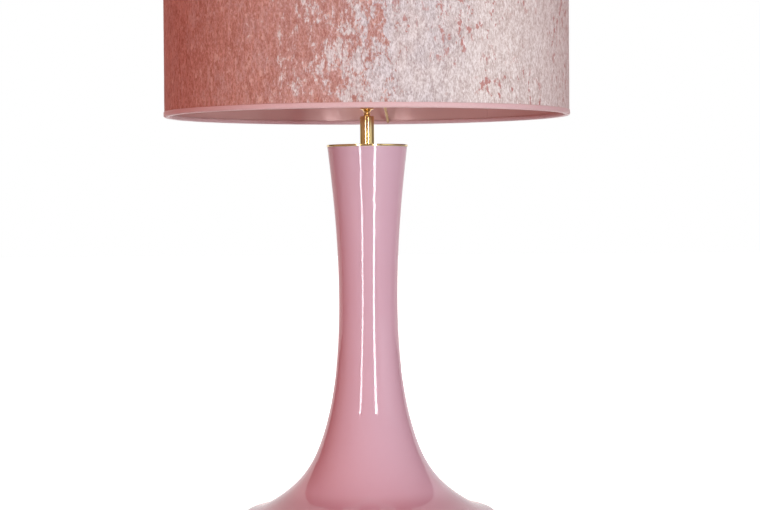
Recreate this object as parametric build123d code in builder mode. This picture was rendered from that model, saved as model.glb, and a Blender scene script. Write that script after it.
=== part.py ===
from build123d import *
import os

os.makedirs("parts", exist_ok=True)

# Table lamp: a glass column on a weighted pan, a turned brass neck, and a drum shade on a three-arm spider.
# Millimetres, +Z up. The origin is in the middle of the underside, and the cord leaves towards +Y.

# The stack from the table up to the lamp holder
felt_thickness = 2.0
pan_height = 12.0
foot_gasket_thickness = 1.2
glass_height = 416.3
mouth_gasket_thickness = 0.6
cap_thickness = 2.2
pan_top_z = felt_thickness + pan_height
glass_foot_z = pan_top_z + foot_gasket_thickness
glass_mouth_z = glass_foot_z + glass_height
cap_bottom_z = glass_mouth_z + mouth_gasket_thickness
cap_top_z = cap_bottom_z + cap_thickness

# Glass column: radius and height above its foot, from the mouth down to the widest part of the rim
glass_outline = [
    (44.6, 416.3),
    (36.9, 342.8),
    (32.6, 245.0),
    (36.6, 167.4),
    (49.7, 100.4),
    (74.4, 50.2),
    (107.7, 22.3),
    (128.0, 13.4),
    (141.4, 4.8),
]
glass_wall = 5.0
rim_radius, rim_height = glass_outline[-1]
foot_outer_radius = rim_radius - rim_height
foot_inner_radius = 132.5
foot_gasket_width = 7.0
gasket_inset = 0.2
mouth_radius = glass_outline[0][0]

# Base pan, ballast and felt
sheet_metal = 1.5
pan_rim_radius = 137.0
pan_wall_radius = 128.0
ballast_radius = 120.0
ballast_thickness = 8.0
ballast_pocket_radius = 16.0
ballast_web = 3.5
ballast_chamfer = 1.0
cord_slot_width = 8.0

# Cord gland in the pan's wall
cord_bore_radius = 3.0
gland_body_radius = 3.8
gland_fit = 0.1
gland_flange_radius = 4.6
gland_flange_thickness = 1.5
gland_length = 12.0
gland_z = 7.8

# M10 hollow stem, its nut and its clearance holes
stem_radius = 5.0
stem_bore_radius = 3.5
stem_bottom_z = 2.6
stem_fit = 0.05
stem_clearance_radius = 5.3
washer_radius = 11.0
washer_thickness = 1.2
nut_across_flats = 17.0
nut_height = 5.0

# Brass cap and turned neck
cap_radius = 45.2
cap_spigot_radius = 37.5
cap_spigot_depth = 8.0
cap_edge_fillet = 0.5
neck_radius = 7.9
neck_cylinder_height = 31.6
neck_shoulder_radius = 5.4
neck_waist_radius = 3.3
neck_bead_bulge = 0.6
neck_lower_cove = 2.6
neck_upper_cove = 5.2
neck_disc_radius = 7.8
neck_boss_radius = 8.2
neck_boss_neck_radius = 6.8
neck_boss_lip = 3.0
neck_lower_cove_height = 2.2
neck_bead_height = 1.9
neck_upper_cove_height = 3.9
neck_disc_thickness = 1.5
neck_boss_height = 16.6
wire_bore_radius = 2.2
neck_socket_depth = 14.2
neck_upper_socket_depth = 11.0
stem_end_gap = 0.5
shoulder_z = cap_top_z + neck_cylinder_height
bead_bottom_z = shoulder_z + neck_lower_cove_height
bead_top_z = bead_bottom_z + neck_bead_height
disc_bottom_z = bead_top_z + neck_upper_cove_height
disc_top_z = disc_bottom_z + neck_disc_thickness
neck_top_z = disc_top_z + neck_boss_height

# Drum shade
shade_radius = 224.8
shade_height = 250.0
shade_bottom_z = 465.5
shade_top_z = shade_bottom_z + shade_height
velvet_thickness = 1.4
panel_thickness = 1.0
trim_thickness = 0.8
trim_height = 5.5
ring_wire_radius = 1.5
panel_outer_radius = shade_radius - velvet_thickness
panel_inner_radius = panel_outer_radius - panel_thickness
ring_radius = panel_inner_radius - ring_wire_radius
ring_inset = trim_thickness + ring_wire_radius
seam_azimuth = 50.8
seam_width = 9.0
seam_thickness = 0.4
seam_end_gap = 5.0

# Spider and its clamping ring, on the shoulder of an E27 lamp holder
fitter_z = 552.0
hub_inner_radius = 21.0
hub_outer_radius = 27.0
hub_thickness = 3.6
arm_radius = 1.75
arm_count = 3
arm_azimuth = 83.3
arm_level_radius = 44.0
arm_bend_radius = 18.0
arm_weld_gap = 0.9
ring_nut_inner_radius = 20.3
ring_nut_outer_radius = 26.5
ring_nut_height = 8.0
ring_nut_grips = 12
ring_nut_scallop_radius = 2.6
ring_nut_scallop_depth = 1.2

# E27 lamp holder
cup_radius = 22.0
cup_height = 24.0
cup_floor_radius = 9.0
cup_wall = 1.2
holder_thread_radius = 20.0
holder_skirt_radius = 21.0
holder_base_radius = 19.5
holder_wall = 1.4
holder_boss_radius = 8.0
holder_boss_height = 9.8
holder_dome_height = 8.0
holder_dome_radius = 14.0
holder_flange_radius = 24.0
holder_flange_thickness = 3.0
holder_split_z = 530.0
holder_spigot_height = 7.0
holder_rim_z = 576.0
insert_floor_z = 546.0
insert_top_z = 572.0
insert_radius = 18.2
shell_radius = 13.25
shell_wall = 0.4
terminal_z = 541.5
terminal_head_radius = 2.8
terminal_head_depth = 1.8
terminal_shank_radius = 1.5
terminal_inner_reach = 10.0
terminal_inset = 0.2
terminal_slot = 0.7
contact_radius = 4.0
contact_shank_length = 6.0
loose_fit = 0.1

# Bulb, seated on the centre contact
contact_z = 549.0
tip_radius = 4.5
tip_height = 2.2
insulator_radius = 9.0
insulator_cone_height = 4.3
insulator_spigot_height = 1.5
bulb_cap_radius = 12.9
bulb_cap_corner = 3.3
bulb_cap_wall = 0.5
bulb_cap_top_z = 577.0
bulb_wall = 0.8
bulb_outline = [
    (11.8, 572.0),
    (12.8, 581.0),
    (17.5, 600.0),
    (16.0, 616.0),
    (11.6, 630.0),
    (4.6, 640.5),
]
bulb_dome_radius = bulb_outline[-1][0] * 2**0.5
filament_bottom_z = 591.0
filament_top_z = 626.6
filament_radius = 0.9
filament_circle = 6.5
spoke_thickness = 0.8
spoke_collar = 0.7
stem_foot_edge = 1.2
stem_flare_radius = 4.0
stem_flare_height = 3.5
stem_wire_radius = 1.4
stem_tip_z = 628.6


def save(piece, name):
    """Label a finished piece and write it under its node's name."""
    piece.label = name
    export_step(piece, f"parts/{name}.step")


def inner_face(line, wall, places):
    """Points one wall to the left of a line, for the inner face of a shell."""
    return [line @ place + (line % place).rotate(Axis.Z, 90) * wall for place in places]


# ---- Base ----

with BuildPart() as felt_pad:
    with BuildSketch():
        Circle(pan_wall_radius)
    extrude(amount=felt_thickness)
save(felt_pad.part, "felt_pad")

# A spun pan, open below: the glass stands on its flat top, which reaches past the wall
with BuildPart() as base_pan:
    with BuildSketch(Plane.XZ):
        with BuildLine():
            Polyline(
                (stem_clearance_radius, pan_top_z),
                (pan_rim_radius, pan_top_z),
                (pan_rim_radius, pan_top_z - sheet_metal),
                (pan_wall_radius, pan_top_z - sheet_metal),
                (pan_wall_radius, felt_thickness),
                (pan_wall_radius - sheet_metal, felt_thickness),
                (pan_wall_radius - sheet_metal, pan_top_z - sheet_metal),
                (stem_clearance_radius, pan_top_z - sheet_metal),
                close=True,
            )
        make_face()
    revolve(axis=Axis.Z)
    with BuildSketch(Plane.XZ.offset(-pan_wall_radius - sheet_metal)):
        with Locations((0, gland_z)):
            Circle(gland_body_radius + gland_fit)
    extrude(amount=3 * sheet_metal, mode=Mode.SUBTRACT)
save(base_pan.part, "base_pan")

# Cast iron, with a pocket for the nut and a slot that leads the cord to the gland
with BuildPart() as ballast_weight:
    with BuildSketch(Plane.XY.offset(pan_top_z - sheet_metal)):
        Circle(ballast_radius)
        Circle(stem_clearance_radius, mode=Mode.SUBTRACT)
    extrude(amount=-ballast_thickness)
    chamfer(ballast_weight.edges().filter_by(GeomType.CIRCLE).sort_by(SortBy.RADIUS)[-2:], ballast_chamfer)
    with BuildSketch(Plane.XY.offset(pan_top_z - sheet_metal - ballast_thickness)):
        Circle(ballast_pocket_radius)
    extrude(amount=ballast_thickness - ballast_web, mode=Mode.SUBTRACT)
    with BuildSketch(Plane.XY.offset(pan_top_z - sheet_metal)):
        with Locations((0, (ballast_pocket_radius + ballast_radius) / 2)):
            Rectangle(cord_slot_width, ballast_radius - ballast_pocket_radius + cord_slot_width / 2)
    extrude(amount=-ballast_thickness, mode=Mode.SUBTRACT)
save(ballast_weight.part, "ballast_weight")

washer_top_z = pan_top_z - sheet_metal - ballast_web
with BuildPart() as bottom_washer:
    with BuildSketch(Plane.XY.offset(washer_top_z)):
        Circle(washer_radius)
        Circle(stem_clearance_radius, mode=Mode.SUBTRACT)
    extrude(amount=-washer_thickness)
save(bottom_washer.part, "bottom_washer")

with BuildPart() as bottom_nut:
    with BuildSketch(Plane.XY.offset(washer_top_z - washer_thickness)):
        RegularPolygon(nut_across_flats / 2, 6, major_radius=False)
        Circle(stem_radius + stem_fit, mode=Mode.SUBTRACT)
    extrude(amount=-nut_height)
save(bottom_nut.part, "bottom_nut")

# A bush snapped into the wall between its two flanges. Both clear the curved wall at their edges.
gland_outer_y = pan_wall_radius + gland_length / 2
outer_flange_y = pan_wall_radius + gland_flange_thickness
inner_flange_y = pan_wall_radius - sheet_metal - 2 * gland_fit
with BuildPart() as cord_gland:
    with BuildSketch(Plane.XZ.offset(-gland_outer_y)):
        with Locations((0, gland_z)):
            Circle(gland_body_radius)
    extrude(amount=gland_length)
    for flange_y in (outer_flange_y, inner_flange_y):
        with BuildSketch(Plane.XZ.offset(-flange_y)):
            with Locations((0, gland_z)):
                Circle(gland_flange_radius)
        extrude(amount=gland_flange_thickness)
    with BuildSketch(Plane.XZ.offset(-gland_outer_y)):
        with Locations((0, gland_z)):
            Circle(cord_bore_radius)
    extrude(amount=gland_length, mode=Mode.SUBTRACT)
save(cord_gland.part, "cord_gland")

with BuildPart() as stem_rod:
    with BuildSketch(Plane.XY.offset(stem_bottom_z)):
        Circle(stem_radius)
        Circle(stem_bore_radius, mode=Mode.SUBTRACT)
    extrude(amount=cap_top_z + neck_socket_depth - stem_end_gap - stem_bottom_z)
save(stem_rod.part, "stem_rod")

# ---- Glass column ----

with BuildPart() as glass_gasket:
    with BuildSketch(Plane.XY.offset(pan_top_z)):
        Circle(pan_rim_radius)
        Circle(pan_rim_radius - foot_gasket_width, mode=Mode.SUBTRACT)
    extrude(amount=foot_gasket_thickness)
save(glass_gasket.part, "glass_gasket")

with BuildPart() as glass_body:
    with BuildSketch(Plane.XZ):
        with BuildLine():
            outer = Spline(
                *[(radius, glass_foot_z + height) for radius, height in glass_outline],
                tangents=[(-0.12, -1), (0, -1)],
            )
            JernArc(outer @ 1, (0, -1), rim_height, -90)
            inner = Spline(
                (mouth_radius - glass_wall, glass_mouth_z),
                *inner_face(outer, -glass_wall, [0.15, 0.3, 0.45, 0.6, 0.75, 0.9]),
            )
            Polyline(
                (foot_outer_radius, glass_foot_z),
                (foot_inner_radius, glass_foot_z),
                inner @ 1,
            )
            Line(inner @ 0, outer @ 0)
        make_face()
    revolve(axis=Axis.Z)
save(glass_body.part, "glass_body")

with BuildPart() as mouth_gasket:
    with BuildSketch(Plane.XY.offset(glass_mouth_z)):
        Circle(mouth_radius - gasket_inset)
        Circle(mouth_radius - glass_wall + gasket_inset, mode=Mode.SUBTRACT)
    extrude(amount=mouth_gasket_thickness)
save(mouth_gasket.part, "mouth_gasket")

# ---- Brass cap and neck ----

with BuildPart() as brass_cap:
    with BuildSketch(Plane.XY.offset(cap_bottom_z)):
        Circle(cap_radius)
    extrude(amount=cap_thickness)
    fillet(brass_cap.edges().filter_by(GeomType.CIRCLE), cap_edge_fillet)
    with BuildSketch(Plane.XY.offset(cap_bottom_z)):
        Circle(cap_spigot_radius)
        Circle(cap_spigot_radius - sheet_metal, mode=Mode.SUBTRACT)
    extrude(amount=-cap_spigot_depth)
    with BuildSketch(Plane.XY.offset(cap_bottom_z)):
        Circle(stem_clearance_radius)
    extrude(amount=cap_thickness, mode=Mode.SUBTRACT)
save(brass_cap.part, "brass_cap")

# A turned piece: cylinder, small trumpet, bead, upper trumpet under a disc, then the boss for the nipple
with BuildPart() as turned_neck:
    with BuildSketch(Plane.XZ):
        with BuildLine():
            Polyline(
                (neck_shoulder_radius, shoulder_z),
                (neck_radius, shoulder_z),
                (neck_radius, cap_top_z),
                (wire_bore_radius, cap_top_z),
                (wire_bore_radius, neck_top_z),
                (neck_boss_radius, neck_top_z),
                (neck_boss_radius, neck_top_z - neck_boss_lip),
                (neck_boss_neck_radius, neck_top_z - 1.5 * neck_boss_lip),
                (neck_boss_neck_radius, disc_top_z),
                (neck_disc_radius, disc_top_z),
                (neck_disc_radius, disc_bottom_z),
            )
            bead_top = (neck_waist_radius, bead_top_z)
            bead_bottom = (neck_waist_radius, bead_bottom_z)
            RadiusArc((neck_disc_radius, disc_bottom_z), bead_top, -neck_upper_cove)
            SagittaArc(bead_top, bead_bottom, neck_bead_bulge)
            RadiusArc(bead_bottom, (neck_shoulder_radius, shoulder_z), -neck_lower_cove)
        make_face()
    revolve(axis=Axis.Z)
    with BuildSketch(Plane.XY.offset(cap_top_z)):
        Circle(stem_radius + stem_fit)
    extrude(amount=neck_socket_depth, mode=Mode.SUBTRACT)
    with BuildSketch(Plane.XY.offset(neck_top_z)):
        Circle(stem_radius + stem_fit)
    extrude(amount=-neck_upper_socket_depth, mode=Mode.SUBTRACT)
save(turned_neck.part, "turned_neck")

# ---- Lamp holder ----

cup_floor_z = neck_top_z
holder_bottom_z = cup_floor_z + cup_wall
boss_top_z = holder_bottom_z + holder_boss_height

with BuildPart() as upper_nipple:
    with BuildSketch(Plane.XY.offset(neck_top_z - neck_upper_socket_depth + stem_end_gap)):
        Circle(stem_radius)
        Circle(stem_bore_radius, mode=Mode.SUBTRACT)
    extrude(amount=neck_upper_socket_depth + cup_wall + holder_boss_height - 2 * stem_end_gap)
save(upper_nipple.part, "upper_nipple")

# A spun bell: flat floor on the neck, a round shoulder, and a straight lip round the holder
bell_radius = cup_radius - cup_floor_radius
with BuildPart() as holder_cup:
    with BuildSketch(Plane.XZ):
        with BuildLine():
            Polyline(
                (cup_radius, cup_floor_z + bell_radius),
                (cup_radius, cup_floor_z + cup_height),
                (cup_radius - cup_wall, cup_floor_z + cup_height),
                (cup_radius - cup_wall, cup_floor_z + bell_radius),
            )
            RadiusArc(
                (cup_radius - cup_wall, cup_floor_z + bell_radius),
                (cup_floor_radius, cup_floor_z + cup_wall),
                bell_radius - cup_wall,
            )
            Polyline(
                (cup_floor_radius, cup_floor_z + cup_wall),
                (stem_clearance_radius, cup_floor_z + cup_wall),
                (stem_clearance_radius, cup_floor_z),
                (cup_floor_radius, cup_floor_z),
            )
            RadiusArc((cup_floor_radius, cup_floor_z), (cup_radius, cup_floor_z + bell_radius), -bell_radius)
        make_face()
    revolve(axis=Axis.Z)
save(holder_cup.part, "holder_cup")

# The lower half of the holder: a threaded boss, a dome, and a spigot that carries the insert
dome_top_z = boss_top_z + holder_dome_height
spigot_radius = holder_thread_radius - holder_wall - loose_fit
spigot_top_z = holder_split_z + holder_spigot_height
base_bore_radius = spigot_radius - holder_wall
with BuildPart() as holder_base:
    with BuildSketch(Plane.XZ):
        with BuildLine():
            Polyline(
                (holder_boss_radius, boss_top_z),
                (holder_boss_radius, holder_bottom_z),
                (stem_radius + stem_fit, holder_bottom_z),
                (stem_radius + stem_fit, boss_top_z + holder_wall),
                (holder_boss_radius, boss_top_z + holder_wall),
                (base_bore_radius, dome_top_z + holder_wall),
                (base_bore_radius, spigot_top_z),
                (spigot_radius, spigot_top_z),
                (spigot_radius, holder_split_z),
                (holder_base_radius, holder_split_z),
                (holder_base_radius, dome_top_z),
            )
            RadiusArc((holder_base_radius, dome_top_z), (holder_boss_radius, boss_top_z), holder_dome_radius)
        make_face()
    revolve(axis=Axis.Z)
save(holder_base.part, "holder_base")

# The upper half: a plain skirt, the shoulder that carries the shade, and the thread for the clamping ring
with BuildPart() as holder_body:
    with BuildSketch(Plane.XY.offset(holder_split_z)):
        Circle(holder_skirt_radius)
    extrude(amount=fitter_z - holder_split_z)
    with BuildSketch(Plane.XY.offset(fitter_z)):
        Circle(holder_flange_radius)
    extrude(amount=-holder_flange_thickness)
    with BuildSketch(Plane.XY.offset(fitter_z)):
        Circle(holder_thread_radius)
    extrude(amount=holder_rim_z - fitter_z)
    with BuildSketch(Plane.XY.offset(holder_split_z)):
        Circle(holder_thread_radius - holder_wall)
    extrude(amount=holder_rim_z - holder_split_z, mode=Mode.SUBTRACT)
save(holder_body.part, "holder_body")

# A ceramic cup for the live parts, with a side pocket for each terminal screw
with BuildPart() as socket_insert:
    with BuildSketch(Plane.XY.offset(spigot_top_z)):
        Circle(insert_radius)
    extrude(amount=insert_top_z - spigot_top_z)
    with BuildSketch(Plane.XY.offset(insert_floor_z)):
        Circle(shell_radius + shell_wall + stem_fit)
    extrude(amount=insert_top_z - insert_floor_z, mode=Mode.SUBTRACT)
    with BuildSketch(Plane.XY.offset(spigot_top_z)):
        Circle(terminal_shank_radius + loose_fit)
    extrude(amount=insert_floor_z - spigot_top_z, mode=Mode.SUBTRACT)
    for side in (1, -1):
        pocket = Plane(origin=(side * insert_radius, 0, terminal_z), z_dir=(-side, 0, 0))
        with BuildSketch(pocket):
            Circle(terminal_head_radius + 3 * loose_fit)
        extrude(amount=terminal_inset + terminal_head_depth, mode=Mode.SUBTRACT)
        with BuildSketch(pocket):
            Circle(terminal_shank_radius + loose_fit)
        extrude(amount=insert_radius - terminal_inner_reach, mode=Mode.SUBTRACT)
save(socket_insert.part, "socket_insert")

with BuildPart() as screw_shell:
    with BuildSketch(Plane.XY.offset(insert_floor_z)):
        Circle(shell_radius + shell_wall)
        Circle(shell_radius, mode=Mode.SUBTRACT)
    extrude(amount=insert_top_z - insert_floor_z)
save(screw_shell.part, "screw_shell")

with BuildPart() as center_contact:
    with BuildSketch(Plane.XY.offset(insert_floor_z)):
        Circle(contact_radius)
    extrude(amount=contact_z - insert_floor_z)
    with BuildSketch(Plane.XY.offset(insert_floor_z)):
        Circle(terminal_shank_radius)
    extrude(amount=-contact_shank_length)
save(center_contact.part, "center_contact")

with BuildPart() as terminal_screws:
    for side in (1, -1):
        head = Plane(
            origin=(side * (insert_radius - terminal_inset), 0, terminal_z),
            x_dir=(0, 1, 0),
            z_dir=(-side, 0, 0),
        )
        with BuildSketch(head):
            Circle(terminal_head_radius)
        extrude(amount=terminal_head_depth)
        with BuildSketch(head):
            Circle(terminal_shank_radius)
        extrude(amount=insert_radius - terminal_inset - terminal_inner_reach)
        with BuildSketch(head):
            Rectangle(2 * terminal_head_radius, terminal_slot)
        extrude(amount=terminal_slot, mode=Mode.SUBTRACT)
save(terminal_screws.part, "terminal_screws")

# ---- Shade ----

with BuildPart() as bottom_ring:
    with BuildSketch(Plane.XZ):
        with Locations((ring_radius, shade_bottom_z + ring_inset)):
            Circle(ring_wire_radius)
    revolve(axis=Axis.Z)
save(bottom_ring.part, "bottom_ring")

with BuildPart() as top_ring:
    with BuildSketch(Plane.XZ):
        with Locations((ring_radius, shade_top_z - ring_inset)):
            Circle(ring_wire_radius)
    revolve(axis=Axis.Z)
save(top_ring.part, "top_ring")

# The laminate goes once round and laps over itself in one narrow vertical seam on the inside
panel_height = shade_height - 2 * trim_thickness
with BuildPart() as shade_panel:
    with BuildSketch(Plane.XY.offset(shade_bottom_z + trim_thickness)):
        Circle(panel_outer_radius)
        Circle(panel_inner_radius, mode=Mode.SUBTRACT)
    extrude(amount=panel_height)
    with BuildSketch(Plane.XY.offset(shade_bottom_z + seam_end_gap).rotated((0, 0, seam_azimuth))):
        with Locations((panel_inner_radius, 0)):
            Rectangle(2 * seam_thickness, seam_width)
    extrude(amount=shade_height - 2 * seam_end_gap)
save(shade_panel.part, "shade_panel")

with BuildPart() as shade_velvet:
    with BuildSketch(Plane.XY.offset(shade_bottom_z + trim_thickness)):
        Circle(shade_radius)
        Circle(panel_outer_radius, mode=Mode.SUBTRACT)
    extrude(amount=panel_height)
save(shade_velvet.part, "shade_velvet")

# Each trim is a band outside the velvet, turned in under the edge and round the wire
for name, edge_z, inward in (("bottom_trim", shade_bottom_z, 1), ("top_trim", shade_top_z, -1)):
    with BuildPart() as trim:
        with BuildSketch(Plane.XY.offset(edge_z)):
            Circle(shade_radius + trim_thickness)
            Circle(ring_radius - ring_wire_radius, mode=Mode.SUBTRACT)
        extrude(amount=inward * trim_thickness)
        with BuildSketch(Plane.XY.offset(edge_z)):
            Circle(shade_radius + trim_thickness)
            Circle(shade_radius, mode=Mode.SUBTRACT)
        extrude(amount=inward * trim_height)
    save(trim.part, name)

with BuildPart() as fitter_hub:
    with BuildSketch(Plane.XY.offset(fitter_z)):
        Circle(hub_outer_radius)
        Circle(hub_inner_radius, mode=Mode.SUBTRACT)
    extrude(amount=hub_thickness)
save(fitter_hub.part, "fitter_hub")

# Each arm is one wire: level at the hub, then straight down to the lower ring
arm_level_z = fitter_z + hub_thickness / 2
arm_slope = Vector(arm_level_radius - ring_radius, arm_level_z - shade_bottom_z - ring_inset).normalized()
arm_end = Vector(ring_radius, shade_bottom_z + ring_inset) + arm_slope * arm_weld_gap
for number in range(arm_count):
    arm_plane = Plane.XZ.rotated((0, 0, arm_azimuth + number * 360 / arm_count))
    with BuildPart() as spider_arm:
        with BuildLine(arm_plane) as arm_wire:
            FilletPolyline(
                (hub_outer_radius - arm_radius, arm_level_z),
                (arm_level_radius, arm_level_z),
                (arm_end.X, arm_end.Y),
                radius=arm_bend_radius,
            )
        with BuildSketch(Plane(origin=arm_wire.line @ 0, z_dir=arm_wire.line % 0)):
            Circle(arm_radius)
        sweep()
        add(fitter_hub.part, mode=Mode.SUBTRACT)
        add(bottom_ring.part, mode=Mode.SUBTRACT)
    save(spider_arm.part, f"spider_arm_{number + 1}")

# The clamping ring screws down on the hub and has scallops for the fingers
ring_nut_z = fitter_z + hub_thickness
scallop_circle = ring_nut_outer_radius + ring_nut_scallop_radius - ring_nut_scallop_depth
with BuildPart() as shade_ring_nut:
    with BuildSketch(Plane.XY.offset(ring_nut_z)):
        Circle(ring_nut_outer_radius)
        Circle(ring_nut_inner_radius, mode=Mode.SUBTRACT)
        with PolarLocations(scallop_circle, ring_nut_grips):
            Circle(ring_nut_scallop_radius, mode=Mode.SUBTRACT)
    extrude(amount=ring_nut_height)
save(shade_ring_nut.part, "shade_ring_nut")

# ---- Bulb ----

tip_top_z = contact_z + tip_height
cap_seat_z = tip_top_z + insulator_cone_height
with BuildPart() as bulb_tip:
    with BuildSketch(Plane.XY.offset(contact_z)):
        Circle(tip_radius)
    extrude(amount=tip_height)
save(bulb_tip.part, "bulb_tip")

with BuildPart() as bulb_insulator:
    with BuildSketch(Plane.XZ):
        with BuildLine():
            Polyline(
                (0, tip_top_z),
                (tip_radius, tip_top_z),
                (insulator_radius, cap_seat_z),
                (insulator_radius, cap_seat_z + insulator_spigot_height),
                (0, cap_seat_z + insulator_spigot_height),
                close=True,
            )
        make_face()
    revolve(axis=Axis.Z)
save(bulb_insulator.part, "bulb_insulator")

with BuildPart() as bulb_cap:
    with BuildSketch(Plane.XZ):
        with BuildLine():
            Polyline(
                (bulb_cap_radius, cap_seat_z + bulb_cap_corner),
                (bulb_cap_radius, bulb_cap_top_z),
                (bulb_cap_radius - bulb_cap_wall, bulb_cap_top_z),
                (bulb_cap_radius - bulb_cap_wall, cap_seat_z + bulb_cap_corner),
            )
            RadiusArc(
                (bulb_cap_radius - bulb_cap_wall, cap_seat_z + bulb_cap_corner),
                (bulb_cap_radius - bulb_cap_corner, cap_seat_z + bulb_cap_wall),
                bulb_cap_corner - bulb_cap_wall,
            )
            Polyline(
                (bulb_cap_radius - bulb_cap_corner, cap_seat_z + bulb_cap_wall),
                (insulator_radius + loose_fit, cap_seat_z + bulb_cap_wall),
                (insulator_radius + loose_fit, cap_seat_z),
                (bulb_cap_radius - bulb_cap_corner, cap_seat_z),
            )
            RadiusArc(
                (bulb_cap_radius - bulb_cap_corner, cap_seat_z),
                (bulb_cap_radius, cap_seat_z + bulb_cap_corner),
                -bulb_cap_corner,
            )
        make_face()
    revolve(axis=Axis.Z)
save(bulb_cap.part, "bulb_cap")

# A slim candle shape with a round dome on top, which the shade's hub passes over
with BuildPart() as bulb_glass:
    with BuildSketch(Plane.XZ):
        with BuildLine():
            bulb_outer = Spline(*bulb_outline, tangents=[(0, 1), (-1, 1)])
            outer_dome = JernArc(bulb_outer @ 1, (-1, 1), bulb_dome_radius, 45)
            bulb_inner = Spline(
                *inner_face(bulb_outer, bulb_wall, [step / 10 for step in range(11)]),
                tangents=[(0, 1), (-1, 1)],
            )
            inner_dome = JernArc(bulb_inner @ 1, (-1, 1), bulb_dome_radius - bulb_wall, 45)
            Line(bulb_outer @ 0, bulb_inner @ 0)
            Line(outer_dome @ 1, inner_dome @ 1)
        make_face()
    revolve(axis=Axis.Z)
save(bulb_glass.part, "bulb_glass")

neck_outer_radius, neck_bottom_z = bulb_outline[0]
stem_foot_z = neck_bottom_z + 1
stem_foot_radius = neck_outer_radius - bulb_wall - loose_fit
with BuildPart() as filament_stem:
    with BuildSketch(Plane.XZ):
        with BuildLine():
            Polyline(
                (0, stem_foot_z),
                (stem_foot_radius, stem_foot_z),
                (stem_foot_radius, stem_foot_z + stem_foot_edge),
                (stem_flare_radius, stem_foot_z + stem_flare_height),
                (stem_wire_radius, filament_bottom_z - stem_flare_height),
                (stem_wire_radius, stem_tip_z),
                (0, stem_tip_z),
                close=True,
            )
        make_face()
    revolve(axis=Axis.Z)
save(filament_stem.part, "filament_stem")

with BuildPart() as filament_wires:
    for wire_z in (filament_bottom_z - spoke_thickness, filament_top_z):
        with BuildSketch(Plane.XY.offset(wire_z)):
            Rectangle(2 * (filament_circle + filament_radius), spoke_thickness)
            Rectangle(spoke_thickness, 2 * (filament_circle + filament_radius))
            Circle(stem_wire_radius + spoke_collar)
            Circle(stem_wire_radius + stem_fit, mode=Mode.SUBTRACT)
        extrude(amount=spoke_thickness)
save(filament_wires.part, "filament_wires")

with BuildPart() as led_filaments:
    with BuildSketch(Plane.XY.offset(filament_bottom_z)):
        with PolarLocations(filament_circle, 4):
            Circle(filament_radius)
    extrude(amount=filament_top_z - filament_bottom_z)
save(led_filaments.part, "led_filaments")
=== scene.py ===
import math

import bmesh
import bpy
from mathutils import Matrix, Quaternion, Vector, noise


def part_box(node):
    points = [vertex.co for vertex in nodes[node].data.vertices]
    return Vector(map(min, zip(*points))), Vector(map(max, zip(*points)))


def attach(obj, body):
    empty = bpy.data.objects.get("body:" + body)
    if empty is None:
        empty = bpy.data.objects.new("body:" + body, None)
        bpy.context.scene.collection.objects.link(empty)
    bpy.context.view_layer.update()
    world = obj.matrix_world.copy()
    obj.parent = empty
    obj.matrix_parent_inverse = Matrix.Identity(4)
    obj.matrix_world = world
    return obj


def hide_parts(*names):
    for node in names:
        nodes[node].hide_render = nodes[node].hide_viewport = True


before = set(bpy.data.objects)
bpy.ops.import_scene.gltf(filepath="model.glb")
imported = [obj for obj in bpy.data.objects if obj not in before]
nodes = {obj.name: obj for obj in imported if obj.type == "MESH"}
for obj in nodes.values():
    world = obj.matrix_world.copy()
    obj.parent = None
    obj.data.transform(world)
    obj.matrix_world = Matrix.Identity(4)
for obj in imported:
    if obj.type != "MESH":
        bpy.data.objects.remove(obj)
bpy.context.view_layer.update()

# Sizes in metres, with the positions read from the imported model
shade_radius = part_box("shade_velvet")[1].x
shade_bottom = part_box("bottom_trim")[0].z
shade_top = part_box("top_trim")[1].z
ring_low, ring_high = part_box("bottom_ring")
hub_low, hub_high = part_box("fitter_hub")
ring_wire_radius = 0.0015
velvet_thickness = 0.0014
seam_azimuth = math.radians(50.8)
seam_lap_width = 0.009


# ---- Camera ----

camera_distance = 2.407
camera_height = 0.3638
camera_pan = math.radians(-0.32)
camera_tilt = math.radians(90 - 1.247)
camera_roll = math.radians(-0.4)

camera_data = bpy.data.cameras.new("camera")
camera_data.lens = 102.2
camera_data.sensor_width = 36
camera_data.clip_start = 0.05
camera_data.clip_end = 60
camera = bpy.data.objects.new("camera", camera_data)
bpy.context.scene.collection.objects.link(camera)
camera.matrix_world = (
    Matrix.Translation((0, -camera_distance, camera_height))
    @ Matrix.Rotation(camera_pan, 4, "Z")
    @ Matrix.Rotation(camera_tilt, 4, "X")
    @ Matrix.Rotation(camera_roll, 4, "Z")
)
bpy.context.scene.camera = camera


# ---- Node helpers ----


def new_material(name):
    """A material with its node tree and its Principled shader."""
    material = bpy.data.materials.new(name)
    material.use_nodes = True
    tree = material.node_tree
    return material, tree, tree.nodes["Principled BSDF"]


def node(tree, kind, inputs=None, **settings):
    """A node with its properties set, and each input either linked or set."""
    made = tree.nodes.new(kind)
    for key, value in settings.items():
        setattr(made, key, value)
    for key, value in (inputs or {}).items():
        if isinstance(value, bpy.types.NodeSocket):
            tree.links.new(value, made.inputs[key])
        else:
            made.inputs[key].default_value = value
    return made


def place(tree, scale=(1, 1, 1), turn=0.0):
    """Object coordinates, stretched and turned about Z."""
    source = node(tree, "ShaderNodeTexCoord").outputs["Object"]
    return node(
        tree,
        "ShaderNodeMapping",
        {"Vector": source, "Scale": scale, "Rotation": (0, 0, turn)},
    ).outputs[0]


def cloud(tree, vector, scale, detail=3.0, roughness=0.55, distortion=0.0):
    """Noise between 0 and 1."""
    inputs = {
        "Vector": vector,
        "Scale": scale,
        "Detail": detail,
        "Roughness": roughness,
        "Distortion": distortion,
    }
    return node(tree, "ShaderNodeTexNoise", inputs).outputs[0]


def sums(tree, operation, first, second=0.0, third=0.0):
    """One Math node."""
    return node(tree, "ShaderNodeMath", {0: first, 1: second, 2: third}, operation=operation).outputs[0]


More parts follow.
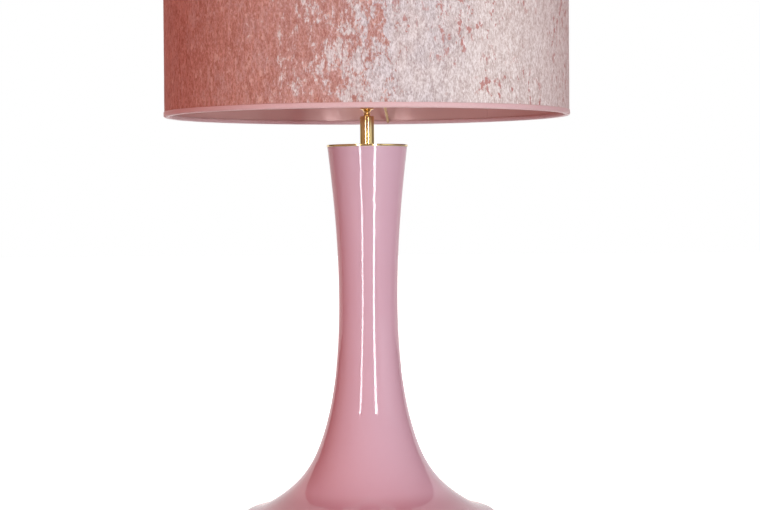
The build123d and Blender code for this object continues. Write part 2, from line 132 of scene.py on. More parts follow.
def spread(tree, value, low, high, out_low=0.0, out_high=1.0, smooth=False):
    """Maps low..high to out_low..out_high, clamped."""
    inputs = {"Value": value, "From Min": low, "From Max": high, "To Min": out_low, "To Max": out_high}
    kind = "SMOOTHSTEP" if smooth else "LINEAR"
    return node(tree, "ShaderNodeMapRange", inputs, interpolation_type=kind).outputs[0]


def opaque(colour):
    """A colour with its alpha."""
    return (*colour, 1.0)


def blend_colours(tree, share, first, second):
    """A mix from the first colour to the second. Each is a socket or three numbers."""
    inputs = {0: share}
    for key, colour in ((6, first), (7, second)):
        inputs[key] = colour if isinstance(colour, bpy.types.NodeSocket) else opaque(colour)
    return node(tree, "ShaderNodeMix", inputs, data_type="RGBA").outputs[2]


def bump(tree, height, distance, strength):
    """A normal from a height between 0 and 1, for a relief of the given distance in metres."""
    inputs = {"Height": height, "Distance": distance, "Strength": strength}
    return node(tree, "ShaderNodeBump", inputs).outputs[0]


def set_shader(tree, shader, colour=None, roughness=None, normal=None, **values):
    """Links or sets the shader's sockets. Names in values use _ for spaces."""
    sockets = {"Base Color": colour, "Roughness": roughness, "Normal": normal}
    sockets.update({key.replace("_", " "): value for key, value in values.items()})
    for key, value in sockets.items():
        if value is None:
            continue
        if isinstance(value, bpy.types.NodeSocket):
            tree.links.new(value, shader.inputs[key])
        else:
            shader.inputs[key].default_value = value


# ---- Materials ----


def make_glass():
    """Cased opal glass: a clear skin over a dusty pink body, with painted shade darkening it towards the
    foot.
    """
    material, tree, shader = new_material("pink_glass")
    painted_shade_full = 0.040
    painted_shade_end = 0.055
    drift = cloud(tree, place(tree, (1, 1, 0.35)), 9, 2)
    fine = cloud(tree, place(tree), 900, 2)
    colour = blend_colours(tree, drift, (0.675, 0.50, 0.625), (0.715, 0.535, 0.665))
    colour = blend_colours(tree, sums(tree, "MULTIPLY", fine, 0.08), colour, (0.78, 0.55, 0.62))
    # Painted shade: the pink darkens near the foot
    height = node(tree, "ShaderNodeSeparateXYZ", {0: place(tree)}).outputs[2]
    painted_shade = spread(tree, height, painted_shade_full, painted_shade_end, 1.0, 0.0, smooth=True)
    colour = blend_colours(tree, painted_shade, colour, (0.57, 0.36, 0.45))
    ripple = cloud(tree, place(tree, (1, 1, 0.5)), 22, 1)
    set_shader(
        tree,
        shader,
        colour,
        spread(tree, fine, 0.3, 0.7, 0.42, 0.5),
        bump(tree, ripple, 0.0001, 0.08),
        IOR=1.5,
        Specular_IOR_Level=0.0,
        Coat_Weight=1.0,
        Coat_Roughness=0.01,
        Coat_IOR=1.5,
        Coat_Tint=opaque((0.99, 0.90, 0.92)),
    )
    return material


def make_velvet():
    """Crushed velvet: flattened silver patches in a terracotta pile, with streaks down the drop, and
    painted sheen that turns the right side silver.
    """
    material, tree, shader = new_material("velvet")
    # Noise at each scale of the cloth, from hand-sized patches down to the yarn
    patch = cloud(tree, place(tree, (1, 1, 0.6)), 26, 3, 0.6)
    ragged = cloud(tree, place(tree, (1, 1, 0.5)), 110, 6, 0.72, 0.6)
    fleck = cloud(tree, place(tree, (1, 1, 0.45)), 330, 4, 0.75)
    streak = cloud(tree, place(tree, (1, 1, 0.42)), 760, 3, 0.7)
    long_streak = cloud(tree, place(tree, (1, 1, 0.12)), 260, 3, 0.6)
    grain = cloud(tree, place(tree, (1, 1, 0.5)), 1500, 1)

    # How far the pile is crushed flat, in random patches, plus painted sheen: little silver on the left,
    # nearly all on the right
    turned = place(tree, (1 / shade_radius, 1 / shade_radius, 1), math.radians(4))
    parts = node(tree, "ShaderNodeSeparateXYZ", {0: turned})
    across, back = parts.outputs[0], parts.outputs[1]
    painted_sheen_lean = sums(tree, "MULTIPLY", across, sums(tree, "MULTIPLY_ADD", back, -2.0, 1.2))
    crush_and_painted_sheen = sums(tree, "MULTIPLY", painted_sheen_lean, 0.33)
    for layer, weight in ((patch, 1.0), (ragged, 2.1), (fleck, 1.1)):
        crush_and_painted_sheen = sums(tree, "MULTIPLY_ADD", sums(tree, "SUBTRACT", layer, 0.5), weight, crush_and_painted_sheen)
    flat_and_painted_sheen = spread(tree, crush_and_painted_sheen, -0.12, 0.08, smooth=True)
    half_flat_and_painted_sheen = spread(tree, crush_and_painted_sheen, -0.75, -0.05, smooth=True)

    # Light and dark along the streaks, in the standing pile and in the flat
    tone = sums(tree, "MULTIPLY_ADD", streak, 0.4, sums(tree, "MULTIPLY", ragged, 0.2))
    tone = sums(tree, "MULTIPLY_ADD", fleck, 0.3, sums(tree, "MULTIPLY_ADD", long_streak, 0.1, tone))
    tone = spread(tree, tone, 0.43, 0.57)
    dark = blend_colours(tree, tone, (0.37, 0.155, 0.125), (0.67, 0.37, 0.32))
    middle = blend_colours(tree, tone, (0.375, 0.18, 0.16), (0.61, 0.40, 0.385))
    dark = blend_colours(tree, half_flat_and_painted_sheen, dark, middle)
    cool = blend_colours(tree, tone, (0.355, 0.315, 0.345), (0.735, 0.73, 0.785))
    warm = blend_colours(tree, tone, (0.42, 0.345, 0.36), (0.78, 0.765, 0.79))
    painted_sheen_bright = blend_colours(tree, tone, (0.52, 0.43, 0.42), (0.90, 0.885, 0.90))
    pale = blend_colours(tree, spread(tree, patch, 0.38, 0.62), cool, warm)
    # Painted sheen: the pale parts brighten towards the right side
    pale = blend_colours(tree, spread(tree, across, 0.40, 0.62, 0.0, 0.8, smooth=True), pale, painted_sheen_bright)
    colour = blend_colours(tree, flat_and_painted_sheen, dark, pale)

    # Bare flecks in groups on the flat, frosty ones on the standing pile, and the yarn's own grain
    spots = cloud(tree, place(tree, (1, 1, 0.6)), 150, 4, 0.65)
    groups = spread(tree, cloud(tree, place(tree, (1, 1, 0.7)), 21, 2), 0.42, 0.52)
    bare = sums(tree, "MULTIPLY", spread(tree, spots, 0.572, 0.605), sums(tree, "MULTIPLY", groups, flat_and_painted_sheen))
    frost = sums(tree, "MULTIPLY", spread(tree, spots, 0.405, 0.365), sums(tree, "SUBTRACT", 1.0, flat_and_painted_sheen))
    colour = blend_colours(tree, sums(tree, "MULTIPLY", bare, 0.9), colour, (0.44, 0.19, 0.18))
    colour = blend_colours(tree, sums(tree, "MULTIPLY", frost, 0.55), colour, (0.76, 0.54, 0.51))
    colour = blend_colours(tree, spread(tree, grain, 0.4, 0.75, 0, 0.10), colour, (0.80, 0.70, 0.70))
    height = sums(tree, "MULTIPLY_ADD", flat_and_painted_sheen, -0.5, tone)
    set_shader(
        tree,
        shader,
        colour,
        spread(tree, flat_and_painted_sheen, 0, 1, 0.88, 0.62),
        bump(tree, height, 0.0003, 0.4),
        Sheen_Weight=0.1,
        Sheen_Roughness=0.45,
        Sheen_Tint=opaque((0.95, 0.80, 0.80)),
        Specular_IOR_Level=0.2,
    )
    return material


def make_trim():
    """Satin ribbon: fine diagonal twill, a little sheen."""
    material, tree, shader = new_material("trim_fabric")
    twill = node(
        tree,
        "ShaderNodeTexWave",
        {"Vector": place(tree, (1, 1, 1.6)), "Scale": 620, "Distortion": 0.6, "Detail": 1},
        bands_direction="DIAGONAL",
    ).outputs["Fac"]
    slub = cloud(tree, place(tree, (1, 1, 6)), 260, 2)
    shade = sums(tree, "MULTIPLY_ADD", twill, 0.35, sums(tree, "MULTIPLY", slub, 0.65))
    colour = blend_colours(tree, shade, (0.60, 0.395, 0.43), (0.78, 0.58, 0.62))
    set_shader(
        tree,
        shader,
        colour,
        spread(tree, twill, 0, 1, 0.42, 0.58),
        bump(tree, twill, 0.00008, 0.5),
        Sheen_Weight=0.4,
        Sheen_Roughness=0.4,
        Specular_IOR_Level=0.45,
    )
    return material


def make_lining():
    """Rose silver laminate with a fine vertical emboss."""
    material, tree, shader = new_material("lining")
    reed = cloud(tree, place(tree, (1, 1, 0.03)), 900, 2)
    patch = cloud(tree, place(tree, (1, 1, 0.5)), 18, 3)
    colour = blend_colours(tree, patch, (0.68, 0.44, 0.43), (0.80, 0.56, 0.55))
    colour = blend_colours(tree, sums(tree, "MULTIPLY", reed, 0.3), colour, (0.72, 0.56, 0.56))
    set_shader(
        tree,
        shader,
        colour,
        spread(tree, reed, 0.3, 0.7, 0.13, 0.2),
        bump(tree, reed, 0.00006, 0.4),
        Metallic=0.35,
    )
    return material


def make_metal(name, dark, light, rough, lines, spots):
    """Metal with turning lines about the axis, and smudges or spangle."""
    material, tree, shader = new_material(name)
    position = place(tree)
    smudge = cloud(tree, position, 70, 4, 0.6)
    parts = node(tree, "ShaderNodeSeparateXYZ", {0: position})
    radius = node(tree, "ShaderNodeCombineXYZ", {0: parts.outputs[0], 1: parts.outputs[1]}).outputs[0]
    radius = node(tree, "ShaderNodeVectorMath", {0: radius}, operation="LENGTH").outputs["Value"]
    around = node(tree, "ShaderNodeCombineXYZ", {0: radius, 1: parts.outputs[2]}).outputs[0]
    turning = cloud(tree, around, 3200, 2, 0.7)
    spangle = node(tree, "ShaderNodeTexVoronoi", {"Vector": position, "Scale": 240}).outputs["Distance"]
    share = sums(tree, "MULTIPLY_ADD", spangle, spots, smudge)
    colour = blend_colours(tree, spread(tree, share, 0.3, 0.8), dark, light)
    polish = sums(tree, "MULTIPLY_ADD", turning, 0.4, smudge)
    height = sums(tree, "MULTIPLY_ADD", turning, lines, sums(tree, "MULTIPLY", smudge, 0.02))
    set_shader(
        tree,
        shader,
        colour,
        spread(tree, polish, 0.3, 1.1, rough[0], rough[1]),
        bump(tree, height, 0.00003, 0.5),
        Metallic=1.0,
    )
    return material


def make_plain(name, dark, light, rough, scale, relief, values):
    """Moulded, cast, fired or painted surfaces: two-scale mottling in colour, roughness and relief."""
    material, tree, shader = new_material(name)
    position = place(tree)
    broad = cloud(tree, position, scale * 0.15, 3)
    fine = cloud(tree, position, scale, 3, 0.65)
    share = sums(tree, "MULTIPLY_ADD", broad, 0.6, sums(tree, "MULTIPLY", fine, 0.4))
    colour = blend_colours(tree, spread(tree, share, 0.3, 0.7), dark, light)
    set_shader(
        tree,
        shader,
        colour,
        spread(tree, fine, 0.3, 0.7, rough[0], rough[1]),
        bump(tree, fine, relief, 0.6),
        **values,
    )
    return material


# Darkest and lightest colour, roughness, depth of the turning lines, amount of spangle
metals = {
    "polished_brass": ((0.90, 0.69, 0.30), (0.95, 0.79, 0.43), (0.12, 0.16), 0.25, 0.0),
    "brass_plate": ((0.38, 0.28, 0.14), (0.52, 0.39, 0.20), (0.22, 0.32), 0.5, 0.0),
    "zinc_steel": ((0.42, 0.43, 0.45), (0.62, 0.63, 0.64), (0.28, 0.45), 0.4, 0.4),
    "nickel": ((0.58, 0.56, 0.52), (0.74, 0.72, 0.69), (0.14, 0.26), 0.6, 0.0),
}

# Darkest and lightest colour, roughness, scale of the mottling, depth of the relief, other shader values
plain_surfaces = {
    "white_wire": ((0.72, 0.70, 0.67), (0.86, 0.84, 0.81), (0.38, 0.5), 900, 0.00004, {}),
    "cast_iron": ((0.035, 0.035, 0.038), (0.085, 0.085, 0.09), (0.6, 0.85), 320, 0.0004, {"Metallic": 0.6}),
    "clear_rubber": (
        (0.62, 0.60, 0.56),
        (0.74, 0.72, 0.68),
        (0.35, 0.5),
        400,
        0.00003,
        {"Transmission_Weight": 0.35},
    ),
    "black_rubber": ((0.018, 0.018, 0.018), (0.04, 0.04, 0.04), (0.55, 0.75), 600, 0.00005, {}),
    "felt": ((0.03, 0.027, 0.027), (0.085, 0.075, 0.075), (0.88, 0.98), 900, 0.0003, {"Sheen_Weight": 0.4}),
    "black_resin": ((0.018, 0.018, 0.02), (0.035, 0.035, 0.038), (0.3, 0.42), 700, 0.00003, {}),
    "porcelain": ((0.74, 0.73, 0.68), (0.84, 0.83, 0.79), (0.5, 0.66), 500, 0.00004, {}),
    "bulb_glass": (
        (0.94, 0.95, 0.95),
        (0.98, 0.98, 0.98),
        (0.0, 0.03),
        60,
        0.00002,
        {"Transmission_Weight": 1.0, "IOR": 1.5},
    ),
    "black_glass": ((0.012, 0.012, 0.016), (0.03, 0.03, 0.036), (0.08, 0.16), 300, 0.00002, {}),
    "phosphor": ((0.70, 0.44, 0.07), (0.86, 0.60, 0.14), (0.45, 0.6), 1400, 0.00012, {}),
}

materials = {
    "pink_glass": make_glass(),
    "velvet": make_velvet(),
    "trim_fabric": make_trim(),
    "lining": make_lining(),
}
for slot, values in metals.items():
    materials[slot] = make_metal(slot, *values)
for slot, values in plain_surfaces.items():
    materials[slot] = make_plain(slot, *values)

carried_over = {
    "pink_glass": ["glass_body"],
    "lining": ["shade_panel"],
    "polished_brass": ["brass_cap", "turned_neck", "holder_cup", "center_contact"],
    "brass_plate": ["base_pan", "fitter_hub", "spider_arm_1", "spider_arm_2", "spider_arm_3"],
    "zinc_steel": [
        "bottom_washer",
        "bottom_nut",
        "stem_rod",
        "upper_nipple",
        "terminal_screws",
        "bulb_tip",
        "filament_wires",
    ],
    "white_wire": ["bottom_ring", "top_ring"],
    "cast_iron": ["ballast_weight"],
    "clear_rubber": ["glass_gasket", "mouth_gasket"],
    "black_rubber": ["cord_gland"],
    "black_resin": ["holder_base", "shade_ring_nut"],
    "porcelain": ["socket_insert"],
    "bulb_glass": ["bulb_glass", "filament_stem"],
    "black_glass": ["bulb_insulator"],
    "phosphor": ["led_filaments"],
}
for slot, names in carried_over.items():
    for name in names:
        mesh = nodes[name].data
        mesh.materials.clear()
        mesh.materials.append(materials[slot])


# ---- Mesh helpers ----


def make_object(name, mesh, slot, body, replaced=()):
    """A piece from a bmesh: smooth, finished from a slot, riding on a body."""
    data = bpy.data.meshes.new(name)
    bmesh.ops.recalc_face_normals(mesh, faces=mesh.faces)
    mesh.to_mesh(data)
    mesh.free()
    data.materials.append(materials[slot])
    piece = bpy.data.objects.new(name, data)
    bpy.context.scene.collection.objects.link(piece)
    piece.data.shade_smooth()
    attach(piece, body)
    if replaced:
        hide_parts(*replaced)
    return piece


def turn_outline(outline, segments, shift=None, closed=True):
    """A bmesh of an outline of (radius, z) turned round the axis.

    shift(angle, radius, z) gives a point's own move (out, up).
    """
    mesh = bmesh.new()
    rings = []
    for step in range(segments):
        angle = 2 * math.pi * step / segments
        ring = []
        for radius, z in outline:
            out, up = shift(angle, radius, z) if shift else (0.0, 0.0)
            reach = radius + out
            ring.append(mesh.verts.new((reach * math.cos(angle), reach * math.sin(angle), z + up)))
        rings.append(ring)
    count = len(outline)
    strips = count if closed else count - 1
    for step in range(segments):
        here, there = rings[step], rings[(step + 1) % segments]
        for first in range(strips):
            second = (first + 1) % count
            mesh.faces.new((here[first], there[first], there[second], here[second]))
    bmesh.ops.remove_doubles(mesh, verts=mesh.verts, dist=1e-7)
    return mesh


def steps(start, end, count):
    """count values from start to end, both included."""
    return [start + (end - start) * place_in / (count - 1) for place_in in range(count)]


def arc(centre, radius, start, end, count):
    """Points (r, z) on an arc, in degrees."""
    return [
        (centre[0] + radius * math.cos(math.radians(a)), centre[1] + radius * math.sin(math.radians(a)))
        for a in steps(start, end, count)
    ]


def band_outline(line, thickness):
    """A closed outline round an open line of (r, z), with rounded ends."""
    end_share = 0.4
    left, right = [], []
    for place_in, point in enumerate(line):
        before = Vector(line[max(place_in - 1, 0)])
        after = Vector(line[min(place_in + 1, len(line) - 1)])
        along = (after - before).normalized()
        aside = Vector((-along.y, along.x)) * thickness / 2
        left.append(tuple(Vector(point) + aside))
        right.append(tuple(Vector(point) - aside))
    first = (Vector(line[0]) - Vector(line[1])).normalized() * thickness * end_share
    last = (Vector(line[-1]) - Vector(line[-2])).normalized() * thickness * end_share
    return left + [tuple(Vector(line[-1]) + last)] + right[::-1] + [tuple(Vector(line[0]) + first)]


# ---- Velvet ----

velvet_segments = 600
velvet_rows = 110
velvet_edge = 0.0008
velvet_seam_lap = 0.0007
velvet_slack = 0.0001
velvet_broad_depth = 0.00010
velvet_fine_depth = 0.00006


def velvet_shift(angle, radius, z):
    """The cloth's own unevenness, and its lapped seam at the back."""
    if radius < shade_radius - velvet_thickness / 2:
        return 0.0, 0.0
    point = Vector((math.cos(angle) * 9, math.sin(angle) * 9, z * 22))
    relief = noise.noise(point * 4.0) * velvet_broad_depth + noise.noise(point * 13.0) * velvet_fine_depth
    offset = (angle - seam_azimuth) * shade_radius
    lap = velvet_seam_lap if 0 <= offset <= seam_lap_width else 0.0
    return relief - velvet_slack + lap, 0.0


velvet_bottom = shade_bottom + velvet_edge
velvet_top = shade_top - velvet_edge
velvet_outline = [(shade_radius, z) for z in steps(velvet_bottom, velvet_top, velvet_rows)]
velvet_inner = shade_radius - velvet_thickness
velvet_outline += [(velvet_inner, velvet_top), (velvet_inner, velvet_bottom)]
velvet = make_object(
    "velvet_cover",
    turn_outline(velvet_outline, velvet_segments, velvet_shift),
    "velvet",
    "shade",
    ["shade_velvet"],
)


# ---- Trims ----

trim_thickness = 0.0007
trim_gap = 0.0004
trim_outer = shade_radius + trim_gap
trim_inner = -ring_low.x - 2 * ring_wire_radius - trim_gap
trim_corner = 0.0012
trim_corner_height = 0.0016
trim_face_low = 0.0018
trim_face_high = 0.0053
trim_inner_low = 0.0022
trim_inner_high = 0.0030
trim_under_outer = trim_outer - 0.002
trim_under_inner = trim_inner + 0.0022
trim_hem = ((0.0005, 0.0038), (0.0014, 0.0043))
trim_segments = 540
trim_joint_start = -0.004
trim_joint_end = 0.006


def trim_line(edge, inward):
    """The ribbon's path from the velvet's face, under the edge and up round the wire."""
    outer_corner = arc((trim_outer - trim_corner, edge + trim_corner_height), trim_corner, 0, -90, 7)
    inner_corner = arc((trim_inner + trim_corner, edge + trim_corner_height), trim_corner, -90, -180, 7)
    line = [(trim_outer, edge + inward * z) for z in steps(trim_face_high, trim_face_low, 6)]
    line += [(r, edge + inward * (z - edge)) for r, z in outer_corner]
    line += [(r, edge + inward * trim_gap) for r in steps(trim_under_outer, trim_under_inner, 4)]
    line += [(r, edge + inward * (z - edge)) for r, z in inner_corner]
    line += [(trim_inner, edge + inward * z) for z in steps(trim_inner_low, trim_inner_high, 3)]
    line += [(trim_inner + out, edge + inward * z) for out, z in trim_hem]
    return line


def trim_shift(angle, radius, z):
    """Small waves along the ribbon's cut edges, and its joint above the seam."""
    wave_depth = 0.00025
    fine_depth = 0.00004
    joint_depth = 0.0004
    lift_start = 0.003
    lift_length = 0.003
    from_edge = min(z - shade_bottom, shade_top - z)
    wave = noise.noise(Vector((math.cos(angle) * 14, math.sin(angle) * 14, z * 30)))
    fine = noise.noise(Vector((math.cos(angle) * 60, math.sin(angle) * 60, z * 200)))
    lift = max(0.0, from_edge - lift_start) / lift_length
    toward = 1 if z < (shade_bottom + shade_top) / 2 else -1
    offset = (angle - seam_azimuth) * shade_radius
    outside = radius > shade_radius - 0.001
    joint = joint_depth if outside and trim_joint_start <= offset <= trim_joint_end else 0.0
    return fine * fine_depth + joint, toward * lift * wave * wave_depth


for name, edge, inward, cad_trim, cad_ring in (
    ("trim_ribbon_bottom", shade_bottom, 1, "bottom_trim", "bottom_ring"),
    ("trim_ribbon_top", shade_top, -1, "top_trim", "top_ring"),
):
    outline = band_outline(trim_line(edge, inward), trim_thickness)
    mesh = turn_outline(outline, trim_segments, trim_shift)
    ribbon = make_object(name, mesh, "trim_fabric", "shade", [cad_trim])


# ---- Felt ----

felt_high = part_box("felt_pad")[1]
felt_radius = felt_high.x - 0.0001
felt_edge = 0.0006
felt_top = felt_high.z - 0.00015
felt_rings = 26
felt_segments = 220


def felt_shift(angle, radius, z):
    """Pressed wool: a soft edge and a slightly uneven face."""
    edge_depth = 0.00008
    face_depth = 0.00006
    lift = 0.00007
    point = Vector((math.cos(angle) * radius * 400, math.sin(angle) * radius * 400, z * 400))
    return noise.noise(point) * edge_depth, noise.noise(point + Vector((7, 3, 5))) * face_depth + lift


felt_outline = [(r, 0.0) for r in steps(0, felt_radius - felt_edge, felt_rings)]
felt_outline += arc((felt_radius - felt_edge, felt_edge), felt_edge, -60, 60, 5)
felt_outline += [(r, felt_top) for r in steps(felt_radius - felt_edge, 0, 6)]
felt_mesh = turn_outline(felt_outline, felt_segments, felt_shift, closed=False)
felt_pad = make_object("felt_disc", felt_mesh, "felt", "base", ["felt_pad"])


# ---- Threads ----

thread_segments = 96
thread_margin = 0.001
edison_pitch = 0.003629
edison_depth = 0.0009


def thread(outline, pitch, depth, low, high, whole=True):
    """A turned part whose wall is rolled into a right-hand thread between low and high.

    Where whole is false, only the outer wall has the thread.
    """
    fade = pitch * 0.6
    radii = [radius for radius, z in outline]
    middle = (max(radii) + min(radii)) / 2

    def shift(angle, radius, z):
        share = min(max((z - low) / fade, 0.0), 1.0) * min(max((high - z) / fade, 0.0), 1.0)
        crest = 0.5 - 0.5 * math.cos(2 * math.pi * z / pitch - angle)
        return -depth * share * crest if (radius > middle or whole) else 0.0, 0.0

    return turn_outline(outline, thread_segments, shift)


cap_low, cap_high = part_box("bulb_cap")
cap_wall = 0.0005
cap_corner = 0.0033
cap_inner_corner = 0.0028
cap_plain = 0.003
cap_hole = 0.0091
cap_start = cap_low.z + cap_corner
cap_rows = steps(cap_start, cap_high.z, 52)
cap_outline = [(cap_high.x, z) for z in cap_rows]
cap_outline += [(cap_high.x - cap_wall, z) for z in cap_rows[::-1]]
cap_outline += arc((cap_high.x - cap_corner, cap_start), cap_inner_corner, 0, -90, 6)[1:]
cap_outline += [(cap_hole, cap_low.z + cap_wall), (cap_hole, cap_low.z)]
cap_outline += arc((cap_high.x - cap_corner, cap_start), cap_corner, -90, 0, 6)[:-1]
cap_mesh = thread(cap_outline, edison_pitch, edison_depth, cap_start, cap_high.z - cap_plain)
make_object("bulb_cap_thread", cap_mesh, "nickel", "bulb", ["bulb_cap"])

shell_low, shell_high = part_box("screw_shell")
shell_wall = 0.0004
shell_rows = steps(shell_low.z, shell_high.z, 60)
shell_outline = [(shell_high.x, z) for z in shell_rows]
shell_outline += [(shell_high.x - shell_wall, z) for z in shell_rows[::-1]]
thread_low = shell_low.z + thread_margin
thread_high = shell_high.z - thread_margin
shell_mesh = thread(shell_outline, edison_pitch, edison_depth, thread_low, thread_high)
make_object("screw_shell_thread", shell_mesh, "nickel", "base", ["screw_shell"])

body_low, body_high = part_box("holder_body")
skirt_radius = 0.021
flange_radius = 0.024
flange_thickness = 0.003
holder_thread_radius = 0.020
holder_wall = 0.0014
holder_pitch = 0.0025
holder_depth = 0.0007
edge_break = 0.0004
foot_break = 0.0003
flange_z = hub_low.z
thread_low = flange_z + thread_margin
thread_high = body_high.z - edge_break
body_outline = [
    (skirt_radius, body_low.z + foot_break),
    (skirt_radius, flange_z - flange_thickness),
    (flange_radius - edge_break, flange_z - flange_thickness),
    (flange_radius, flange_z - flange_thickness + edge_break),
    (flange_radius, flange_z - edge_break),
    (flange_radius - edge_break, flange_z),
]
body_outline += [(holder_thread_radius, z) for z in steps(flange_z, thread_high, 90)]
body_outline += [
    (holder_thread_radius - edge_break, body_high.z),
    (holder_thread_radius - holder_wall, body_high.z),
    (holder_thread_radius - holder_wall, body_low.z),
    (skirt_radius - foot_break, body_low.z),
]
body_mesh = thread(body_outline, holder_pitch, holder_depth, thread_low, thread_high, whole=False)
make_object("holder_body_thread", body_mesh, "black_resin", "base", ["holder_body"])


# ---- Welds ----

first_arm_azimuth = 83.3
arm_azimuths = [math.radians(first_arm_azimuth + 120 * number) for number in range(3)]
ring_centre = (ring_high.x - ring_wire_radius, (ring_low.z + ring_high.z) / 2)
hub_bead = (0.0021, 0.0021, 0.0015)
hub_bead_out = 0.0003
hub_bead_up = 0.0012
ring_bead = (0.0019, 0.0019, 0.0021)
ring_bead_in = 0.0016
ring_bead_up = 0.0014
bead_lump = 0.18


def add_bead(mesh, centre, size, seed):
    """A lumpy bead of solder or weld."""
    made = bmesh.ops.create_icosphere(mesh, subdivisions=3, radius=1.0)["verts"]
    for vertex in made:
        lump = 1 + bead_lump * noise.noise(vertex.co * 1.7 + Vector((seed, 0, 0)))
        stretched = Vector((vertex.co.x * size[0], vertex.co.y * size[1], vertex.co.z * size[2]))
        vertex.co = Vector(centre) + stretched * lump


weld_mesh = bmesh.new()
for number, azimuth in enumerate(arm_azimuths):
    across = Vector((math.cos(azimuth), math.sin(azimuth), 0))
    hub_point = across * (hub_high.x + hub_bead_out) + Vector((0, 0, hub_low.z + hub_bead_up))
    ring_point = across * (ring_centre[0] - ring_bead_in) + Vector((0, 0, ring_centre[1] + ring_bead_up))
    add_bead(weld_mesh, hub_point, hub_bead, number * 3.1)
    add_bead(weld_mesh, ring_point, ring_bead, number * 5.3 + 1)
make_object("spider_welds", weld_mesh, "brass_plate", "shade")


# ---- Studio ----

# The room and the sweep as they light the lamp, and as they show in its gloss
room_left = (0.60, 0.14, 0.11)
room_right = (0.34, 0.06, 0.05)
sweep_colour = (0.62, 0.62, 0.62)
gloss_left = (0.38, 0.25, 0.18)
gloss_right = (0.26, 0.23, 0.22)
gloss_panel = (0.85, 0.85, 0.88)
gloss_corner = (0.06, 0.03, 0.03)
gloss_sweep = (0.95, 0.95, 0.95)

floor_half_width = 14
floor_colour = (0.55, 0.55, 0.55)
floor_seen_strength = 1.1
floor_gloss_strength = 0.6


def make_floor():
    """A pale floor that the camera sees as white, and that shows pale in gloss behind the lamp."""
    mesh = bmesh.new()
    corners = [
        mesh.verts.new((x * floor_half_width, y * floor_half_width, 0))
        for x, y in ((-1, -1), (1, -1), (1, 1), (-1, 1))
    ]
    mesh.faces.new(corners)
    data = bpy.data.meshes.new("studio_floor")
    mesh.to_mesh(data)
    mesh.free()
    material, tree, shader = new_material("studio_white")
    path = node(tree, "ShaderNodeLightPath")
    parts = node(tree, "ShaderNodeSeparateXYZ", {0: place(tree)})
    across = sums(tree, "ABSOLUTE", parts.outputs[0])
    behind = sums(tree, "MULTIPLY_ADD", across, -0.6, parts.outputs[1])
    behind = spread(tree, behind, -0.05, 0.15, smooth=True)
    glow = sums(tree, "MULTIPLY", path.outputs["Is Glossy Ray"], behind)
    glow = sums(tree, "MULTIPLY", glow, floor_gloss_strength)
    glow = sums(tree, "MULTIPLY_ADD", path.outputs["Is Camera Ray"], floor_seen_strength, glow)
    set_shader(
        tree,
        shader,
        opaque(floor_colour),
        0.9,
        Emission_Color=opaque((1.0, 1.0, 1.0)),
        Emission_Strength=glow,
    )
    data.materials.append(material)
    floor = bpy.data.objects.new("studio_floor", data)
    bpy.context.scene.collection.objects.link(floor)


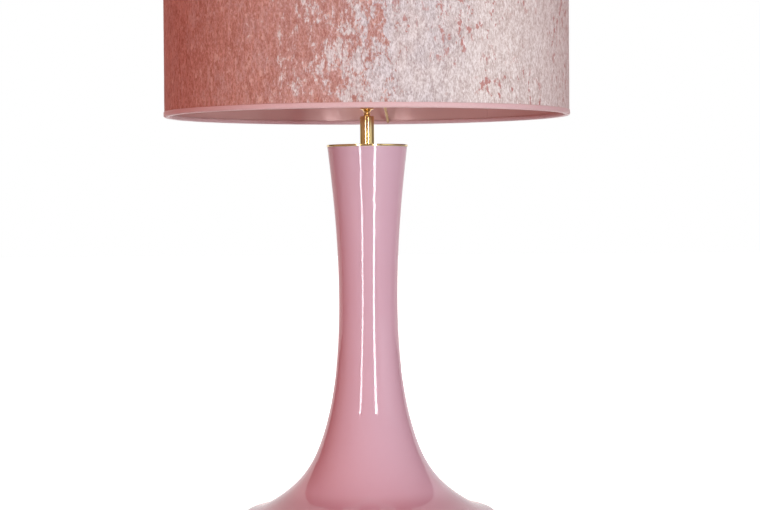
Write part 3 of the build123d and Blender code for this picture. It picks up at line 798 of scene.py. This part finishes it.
def make_world():
    """A white sweep behind the lamp, and a dim room in front of it with a pale panel on the right."""
    world = bpy.data.worlds.new("studio")
    world.use_nodes = True
    bpy.context.scene.world = world
    tree = world.node_tree
    background = tree.nodes["Background"]
    way = node(tree, "ShaderNodeTexCoord").outputs["Generated"]
    across, back, up = node(tree, "ShaderNodeSeparateXYZ", {0: way}).outputs
    aside = sums(tree, "ABSOLUTE", across)
    side = spread(tree, across, -0.5, 0.7, smooth=True)

    # The sweep is within 40 degrees of straight back, and dark corners lie between it and the sides
    sweep_slope = 1.19
    corner_slope = 0.2
    behind = sums(tree, "SUBTRACT", back, sums(tree, "MULTIPLY", aside, sweep_slope))
    behind = spread(tree, behind, -0.012, 0.012, smooth=True)
    corner = sums(tree, "MULTIPLY_ADD", aside, -corner_slope, back)
    corner = spread(tree, corner, -0.05, 0.3, 0.0, 0.8, smooth=True)

    # The panel stands front right, bearing in radians from the front
    bearing = sums(tree, "ARCTAN2", across, sums(tree, "MULTIPLY", back, -1.0))
    panel = spread(tree, bearing, 0.70, 0.78, smooth=True)
    panel = sums(tree, "MULTIPLY", panel, spread(tree, bearing, 1.15, 1.6, 1.0, 0.0, smooth=True))
    panel = sums(tree, "MULTIPLY", panel, spread(tree, up, 0.25, 0.36, 1.0, 0.0, smooth=True))

    soft = blend_colours(tree, side, room_left, room_right)
    soft = blend_colours(tree, behind, soft, sweep_colour)
    gloss = blend_colours(tree, side, gloss_left, gloss_right)
    gloss = blend_colours(tree, corner, gloss, gloss_corner)
    gloss = blend_colours(tree, panel, gloss, gloss_panel)
    gloss = blend_colours(tree, behind, gloss, gloss_sweep)
    path = node(tree, "ShaderNodeLightPath")
    colour = blend_colours(tree, path.outputs["Is Glossy Ray"], soft, gloss)
    colour = blend_colours(tree, path.outputs["Is Camera Ray"], colour, (1.0, 1.0, 1.0))
    tree.links.new(colour, background.inputs["Color"])


def add_light(name, bearing, distance, height, size, roll, radiance, colour, glossy):
    """A level rectangular light aimed at the lamp's axis, out of the camera's sight.

    It either shows in gloss or lights the rest, not both.
    """
    data = bpy.data.lights.new(name, "AREA")
    data.shape = "RECTANGLE"
    data.size, data.size_y = size
    data.energy = radiance * math.pi * size[0] * size[1]
    data.color = colour
    light = bpy.data.objects.new(name, data)
    turn = math.radians(bearing)
    light.location = (distance * math.sin(turn), -distance * math.cos(turn), height)
    light.rotation_mode = "QUATERNION"
    facing = Vector((-distance * math.sin(turn), distance * math.cos(turn), 0)).to_track_quat("-Z", "Y")
    light.rotation_quaternion = facing @ Quaternion((0, 0, 1), math.radians(roll))
    light.visible_camera = False
    light.visible_glossy = glossy
    light.visible_diffuse = not glossy
    bpy.context.scene.collection.objects.link(light)


make_floor()
make_world()

# Name, bearing from the front, distance, height, size, roll, radiance, colour, whether it shows in gloss
lights = (
    ("strip_left_gloss", -22.8, 1.5, 0.332, (0.13, 0.64), 17, 15.0, (1.0, 1.0, 1.0), True),
    ("strip_right_gloss", 22.5, 1.5, 0.335, (0.17, 0.63), -1, 18.0, (1.0, 1.0, 1.0), True),
    ("strip_left_soft", -22.8, 1.5, 0.335, (0.12, 0.63), 17, 7.0, (1.0, 0.86, 0.72), False),
    ("strip_right_soft", 22.5, 1.5, 0.335, (0.12, 0.63), -1, 40.0, (0.76, 1.0, 0.94), False),
    ("key_right", 30, 2.5, 0.1, (1.0, 1.0), 0, 7.0, (0.92, 0.94, 1.0), False),
    ("fill_left", -48, 2.5, 0.1, (1.0, 1.0), 0, 3.0, (1.0, 0.78, 0.70), False),
    ("fill_back", 180, 2.5, 0.7, (1.2, 1.2), 0, 5.0, (0.96, 0.98, 1.0), False),
)
for light in lights:
    add_light(*light)

bpy.context.scene.view_settings.view_transform = "Standard"
bpy.context.scene.view_settings.look = "None"
